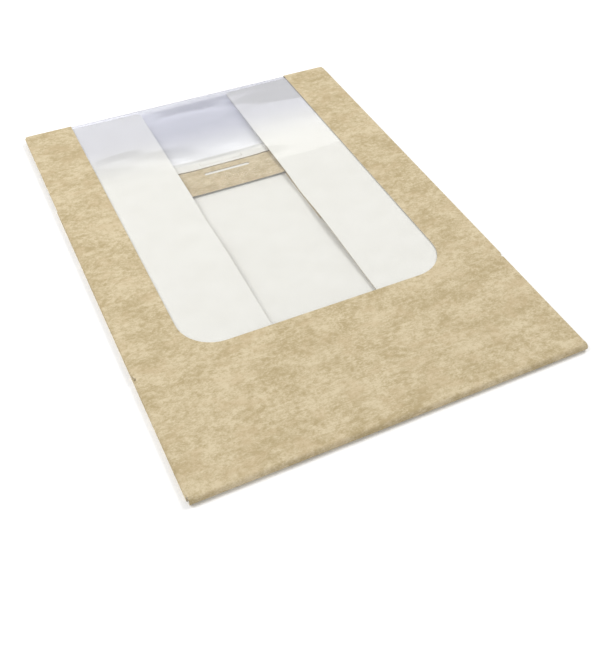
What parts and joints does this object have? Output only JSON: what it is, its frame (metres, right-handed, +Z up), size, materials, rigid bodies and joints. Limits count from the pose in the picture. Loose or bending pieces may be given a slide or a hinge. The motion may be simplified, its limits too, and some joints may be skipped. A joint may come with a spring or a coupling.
{
  "type": "bakery box with window",
  "caption": "Flat-folded kraft board bakery carton, white inside, with a hinged lid and a film window that wraps over the lid's front edge.",
  "frame": {"origin": "on the surface that the folded carton lies on, under the middle of its outline", "axes": "+Y runs from the back fold to the front edge of the lid, +X across the carton, +Z up through the layers, out of the printed side of the lid"},
  "size_m": [0.2, 0.282, 0.004],
  "materials": {
    "board": "uncoated kraft outside, white inside",
    "film": "clear glossy film"
  },
  "bodies": {
    "tray": {"tray": "board"},
    "lid": {"lid": "board", "window_film": "film"}
  },
  "joints": [
    {"name": "lid_hinge", "type": "hinge", "parent": "tray", "child": "lid", "pos_m": [0, -0.07, 0.00414], "axis": [1, 0, 0], "range_deg": [0, 175]}
  ]
}
